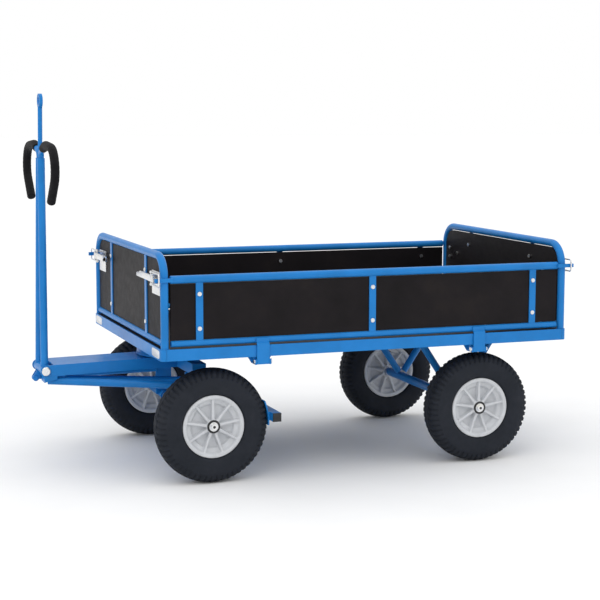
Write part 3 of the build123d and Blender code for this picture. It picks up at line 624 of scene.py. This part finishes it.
@dataclass
class HornGrips:
    """Two foam grips over the bent tubes at the top of the drawbar."""

    pivot: tuple[float, float] = (-1078.0, 361.0)
    eye: tuple[float, float] = (-1067.0, 1313.0)
    head_z: float = 1112.0
    neck_y: float = 13.95
    bends: tuple[tuple[float, float, float], ...] = (
        (14.0, 1130.0, 25.0), (100.0, 1160.0, 100.0), (245.0, 1150.0, 75.0), (278.0, 1062.0, 70.0))
    tip: tuple[float, float] = (190.0, 968.0)
    radius: float = 15.5
    inset: float = 0.25
    starts_at: float = 0.14
    spokes: int = 36
    ease: float = 6.0
    draw_in: float = 3.0

    def path(self, side: Side) -> Array:
        """Centre line of one bent tube, in the plane across the drawbar at its head.

        Each bend is its corner's Y and Z, and its radius.
        """
        lean = (self.eye[0] - self.pivot[0]) / (self.eye[1] - self.pivot[1])
        x = self.pivot[0] + lean * (self.head_z - self.pivot[1])
        corners = [(self.neck_y, self.head_z - 2), *[bend[:2] for bend in self.bends], self.tip]
        line = np.array([(x, side.value * y, z) for y, z in corners])
        return filleted(line, [bend[2] for bend in self.bends], 2.0)

    def grip(self, side: Side) -> bpy.types.Object:
        """The foam: a circle carried along the tube, drawn in at both ends and rippled a little.

        The radius is the foam's, less a small inset, less a quarter circle over the last few millimetres
        of each end, plus two sines of the distance, which add up to 0.3 at most.
        """
        line = self.path(side)
        line = line[int(self.starts_at * len(line)):]
        way = line[-1] - line[-2]
        onward = np.array([[2.0], [3.6], [4.6], [5.0]])
        line = np.vstack([line, line[-1] + way / np.linalg.norm(way) * onward])
        step = np.concatenate([[0], np.cumsum(np.linalg.norm(np.diff(line, axis=0), axis=1))])
        ends = np.minimum(step, step[-1] - step)
        quarter = 1 - np.sqrt(np.clip(1 - (1 - ends / self.ease) ** 2, 0, 1))
        draw = np.where(ends < self.ease, self.draw_in * quarter, 0)
        ripple = 0.18 * np.sin(step * 0.42) + 0.12 * np.sin(step * 1.13 + 1.0)
        radii = self.radius - draw + ripple - self.inset
        grid = carried(line, disc_sweep(radii, self.spokes))
        return MESHER.grid(f"{side.name.lower()}_foam_grip", grid, False, True, capped=True)

    def build(self) -> None:
        """Make both grips; between them they stand for the CAD node."""
        for side in Side:
            dress(self.grip(side), "drawbar", ClosedFoam(), ["foam_grips"])


@dataclass
class TubePlugs:
    """Rounded plugs in the ends of the side gates' top rails."""

    rail_z: float = 718.0
    rail_y: float = 490.0
    rail_end: float = 732.0
    rail_r: float = 13.45
    play: float = 0.4
    dome: float = 2.6
    sunk: float = 1.5

    def plug(self, name: str, at: Point, way: float, body: str) -> None:
        """A shallow dome on a tube's end: radius times the cosine of an angle, height times its sine."""
        rise = np.linspace(0, math.pi / 2 * 0.97, 7)
        angle = np.linspace(0, 2 * math.pi, 32, endpoint=False)
        rho = (self.rail_r - self.play) * np.cos(rise)[:, None]
        x = at[0] + way * self.dome * np.sin(rise)[:, None] * np.ones_like(angle)
        x = np.vstack([x[:1] - way * self.sunk, x])
        rho = np.vstack([rho[:1], rho])
        grid = np.stack([x, at[1] + rho * np.cos(angle), at[2] + rho * np.sin(angle)], axis=-1)
        dress(MESHER.grid(name, grid, False, True, capped=True), body, PowderCoat())

    def build(self) -> None:
        """One plug at each end of each top rail."""
        for side in Side:
            for end in End:
                place = (end.value * self.rail_end, side.value * self.rail_y, self.rail_z)
                name = f"{side.name.lower()}_rail_plug_{end.name.lower()}"
                self.plug(name, place, float(end.value), f"{side.name.lower()}_gate")


# ---------------------------------------------------------------- latches


@dataclass
class LatchLever:
    """A pressed lever: a shallow channel, open towards the gate, that narrows and flares out at its tip."""

    end: End
    side: Side
    pivot_x: float = 778.0
    pivot_y: float = 440.0
    tip_y: float = 262.0
    z: float = 718.0
    wall: float = 2.2

    @property
    def name(self) -> str:
        """Corner of the cart."""
        return f"{self.end.name.lower()}_{self.side.name.lower()}"

    def section(self, half: float, depth: float) -> Array:
        """A channel's closed outline: outer walls and web, then the inner ones, as (outwards, up) pairs."""
        t = self.wall
        outer = [(-depth, -half), (0, -half), (0, half), (-depth, half)]
        inner = [(-depth, half - t), (-t, half - t), (-t, -half + t), (-depth, -half + t)]
        return np.array(outer + inner)

    def build(self) -> None:
        """Carry the section along the lever.

        Half height is 11.6 near the pivot and 9.4 near the tip, and less at both ends. Over the last
        quarter or so, the lever leans outwards by a square law. A small bevel eases the corners.
        """
        share = np.linspace(0, 1, 40)
        y = (self.pivot_y + 9) + (self.tip_y - self.pivot_y - 9) * share
        half = np.interp(share, [0, 0.06, 0.3, 0.85, 0.97, 1.0], [8.5, 11.6, 11.6, 9.4, 7.6, 5.0])
        depth = np.interp(share, [0, 0.1, 0.35, 1.0], [9.0, 10.0, 7.5, 5.0])
        flare = 9.0 * np.clip((share - 0.72) / 0.28, 0, 1) ** 2
        rows = np.stack([self.section(h, d) for h, d in zip(half, depth)])
        x = self.end.value * (self.pivot_x + 4.4 + flare[:, None] + rows[..., 0])
        yy = self.side.value * y[:, None] * np.ones_like(x)
        grid = np.stack([x, yy, self.z + rows[..., 1]], axis=-1)
        piece = MESHER.grid(f"{self.name}_pressed_lever", grid, False, True, capped=True)
        bevel = piece.modifiers.new("edges", "BEVEL")
        bevel.width, bevel.segments = 0.0007, 2
        bevel.limit_method, bevel.angle_limit = "ANGLE", math.radians(40)
        dress(piece, f"{self.name}_lever", ZincPlate())


# ---------------------------------------------------------------- small pieces


@dataclass
class WeldBeads:
    """Rippled weld beads where tubes meet."""

    bead: float = 2.0
    ripples: int = 18
    ripple: float = 0.16
    rail_end: Point = (753.0, 476.7, 500.0)
    rail_r: float = 11.2
    tube_foot: Point = (-1077.8, 50.3, 378.5)
    tube_lean: tuple[float, float] = (0.011, -0.05)
    tube_r: float = 13.6

    def ring(self, name: str, centre: Point, axis: Point, radius: float, body: str) -> None:
        """A thin ring round an axis, its thickness rippled by a sine of the angle."""
        way = np.array(axis, float) / np.linalg.norm(axis)
        guide = np.array([0, 0, 1.0]) if abs(way[2]) < 0.9 else np.array([1.0, 0, 0])
        e1 = np.cross(way, guide)
        e1 /= np.linalg.norm(e1)
        e2 = np.cross(way, e1)
        turn = np.linspace(0, 2 * math.pi, 72, endpoint=False)[:, None]
        spoke = np.linspace(0, 2 * math.pi, 8, endpoint=False)[None]
        thick = self.bead * (1 + self.ripple * np.sin(turn * self.ripples))
        out = radius + thick * np.cos(spoke)
        first = (out * np.cos(turn))[..., None] * e1
        second = (out * np.sin(turn))[..., None] * e2
        points = np.array(centre) + first + second
        points = points + (thick * np.sin(spoke) * np.ones_like(turn))[..., None] * way
        dress(MESHER.grid(name, points, True, True), body, PowderCoat())

    def build(self) -> None:
        """Beads at the ends of the end gates' lower rails and at the foot of each drawbar tube."""
        for end in End:
            for side in Side:
                at = (end.value * self.rail_end[0], side.value * self.rail_end[1], self.rail_end[2])
                name = f"rail_weld_{end.name.lower()}_{side.name.lower()}"
                self.ring(name, at, (0, 1, 0), self.rail_r, "chassis")
        for side in Side:
            foot = (self.tube_foot[0], side.value * self.tube_foot[1], self.tube_foot[2])
            lean = (self.tube_lean[0], side.value * self.tube_lean[1], 1)
            self.ring(f"sleeve_weld_{side.name.lower()}", foot, lean, self.tube_r, "drawbar")


@dataclass
class Labels:
    """Two blank labels on the front rail, near its ends."""

    x: float = -770.2
    z: tuple[float, float] = (449.0, 478.0)
    y: tuple[float, float] = (384.0, 484.0)
    thickness: float = 0.15
    squareness: float = 0.35

    def build(self) -> None:
        """A thin sheet with rounded corners: the same superellipse outline at its front and its back."""
        for side in Side:
            angle = np.linspace(0, 2 * math.pi, 48, endpoint=False)
            cos = np.sign(np.cos(angle)) * np.abs(np.cos(angle)) ** self.squareness
            sin = np.sign(np.sin(angle)) * np.abs(np.sin(angle)) ** self.squareness
            y = side.value * sum(self.y) / 2 + (self.y[1] - self.y[0]) / 2 * cos
            z = sum(self.z) / 2 + (self.z[1] - self.z[0]) / 2 * sin
            rows = [np.stack([np.full_like(y, x), y, z], axis=1) for x in (self.x + self.thickness, self.x)]
            piece = MESHER.grid(f"blank_label_{side.name.lower()}", np.stack(rows), False, True, capped=True)
            dress(piece, "chassis", LabelFilm())


# ---------------------------------------------------------------- studio


@dataclass
class Studio:
    """Pale floor, white surround, soft lights and the camera; the floor and the lamps are in metres."""

    camera_at: Point = (-2075.9 + DECK_X, -5431.1, 1289.0)
    yaw: float = 20.08
    pitch: float = 7.128
    roll: float = 0.107
    lens: float = 92.1
    sensor: float = 36.0
    horizon: float = 0.62
    zenith: float = 1.42
    floor_reach: float = 60.0
    middle: Point = (0.0, 0.0, 0.5)
    lamps: tuple[tuple[str, Point, float, float], ...] = (
        ("key", (-3.0, -4.5, 4.2), 2.2, 30.0),
        ("side", (4.2, -3.2, 2.4), 2.0, 10.0),
        ("front", (-5.0, 0.6, 2.2), 1.8, 4.0))

    def camera(self) -> None:
        """Look along the yaw and pitch, then turn about that line by the roll."""
        yaw, pitch, roll = (math.radians(a) for a in (self.yaw, self.pitch, self.roll))
        look = Vector((math.cos(pitch) * math.sin(yaw), math.cos(pitch) * math.cos(yaw), -math.sin(pitch)))
        right = look.cross(Vector((0, 0, 1))).normalized()
        up = right.cross(look)
        across = math.cos(roll) * right + math.sin(roll) * up
        upright = -math.sin(roll) * right + math.cos(roll) * up
        data = bpy.data.cameras.new("camera")
        data.lens, data.sensor_width, data.clip_end = self.lens, self.sensor, 100.0
        camera = bpy.data.objects.new("camera", data)
        turn = Matrix((across, upright, -look)).transposed().to_4x4()
        camera.matrix_world = Matrix.Translation(Vector(self.camera_at) * MM) @ turn
        bpy.context.scene.collection.objects.link(camera)
        bpy.context.scene.camera = camera

    def floor(self) -> None:
        """A wide pale floor with a very faint mottle."""
        reach = self.floor_reach
        mesh = bpy.data.meshes.new("floor")
        corners = [(-reach, -reach, 0), (reach, -reach, 0), (reach, reach, 0), (-reach, reach, 0)]
        mesh.from_pydata(corners, [], [(0, 1, 2, 3)])
        floor = bpy.data.objects.new("floor", mesh)
        bpy.context.scene.collection.objects.link(floor)
        n = Nodes("studio_floor")
        mottle = n.ramp(n.noise(3), [(0.3, (0.90, 0.90, 0.90)), (0.8, (0.93, 0.93, 0.93))])
        n.feed(n.shader.inputs["Base Color"], mottle)
        n.shader.inputs["Roughness"].default_value = 0.9
        n.shader.inputs["Specular IOR Level"].default_value = 0.0
        mesh.materials.append(n.material)

    def area(self, name: str, at: Point, target: Point, size: float, watts: float) -> None:
        """A square soft light that faces a point."""
        data = bpy.data.lights.new(name, "AREA")
        data.size, data.energy = size, watts
        light = bpy.data.objects.new(name, data)
        light.location = at
        light.rotation_euler = (Vector(target) - Vector(at)).to_track_quat("-Z", "Y").to_euler()
        bpy.context.scene.collection.objects.link(light)

    def build(self) -> None:
        """Set up everything round the cart."""
        scene = bpy.context.scene
        scene.view_settings.view_transform = "Standard"
        world = bpy.data.worlds.new("surround")
        world.use_nodes = True
        tree = world.node_tree
        shell = tree.nodes["Background"]
        shell.inputs["Color"].default_value = (1, 1, 1, 1)
        height = tree.nodes.new("ShaderNodeSeparateXYZ")
        tree.links.new(tree.nodes.new("ShaderNodeTexCoord").outputs["Generated"], height.inputs["Vector"])
        sky = tree.nodes.new("ShaderNodeMapRange")
        sky.inputs["To Min"].default_value, sky.inputs["To Max"].default_value = self.horizon, self.zenith
        tree.links.new(height.outputs["Z"], sky.inputs["Value"])
        seen = tree.nodes.new("ShaderNodeMix")
        seen.inputs["B"].default_value = 1.0
        tree.links.new(tree.nodes.new("ShaderNodeLightPath").outputs["Is Camera Ray"], seen.inputs["Factor"])
        tree.links.new(sky.outputs["Result"], seen.inputs["A"])
        tree.links.new(seen.outputs["Result"], shell.inputs["Strength"])
        scene.world = world
        self.camera()
        self.floor()
        for name, at, size, watts in self.lamps:
            self.area(name, at, self.middle, size, watts)


# ---------------------------------------------------------------- main


def slots_by_node(record: dict) -> dict[str, str]:
    """Material slot of each CAD node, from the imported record."""
    return {row["node"]: row.get("material_slot", "blue_paint") for row in record["subparts"]}


def dress_frame(frame: dict) -> None:
    """Give every CAD node its finish."""
    slots = slots_by_node(frame["record"])
    for name, node in frame["nodes"].items():
        material = FINISHES[slots[name]].material()
        if not node.material_slots:
            node.data.materials.append(material)
        for place in node.material_slots:
            place.material = material


def main(frame: dict) -> None:
    """Build every piece in order."""
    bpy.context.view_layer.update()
    Studio().build()
    dress_frame(frame)
    for end in End:
        for side in Side:
            Wheel(end, side).build()
            LatchLever(end, side).build()
    for maker in (HornGrips(), TubePlugs(), WeldBeads(), Labels()):
        maker.build()


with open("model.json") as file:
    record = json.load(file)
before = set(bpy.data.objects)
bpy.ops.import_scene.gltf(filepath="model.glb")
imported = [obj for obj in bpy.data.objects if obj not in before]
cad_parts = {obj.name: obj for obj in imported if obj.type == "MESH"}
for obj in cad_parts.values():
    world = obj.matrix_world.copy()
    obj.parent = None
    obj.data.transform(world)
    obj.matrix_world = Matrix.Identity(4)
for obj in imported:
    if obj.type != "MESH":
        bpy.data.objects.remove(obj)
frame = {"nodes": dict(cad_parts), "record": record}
if __name__ == "__main__":
    logging.basicConfig(level=logging.INFO, format="%(message)s")
    main(frame)
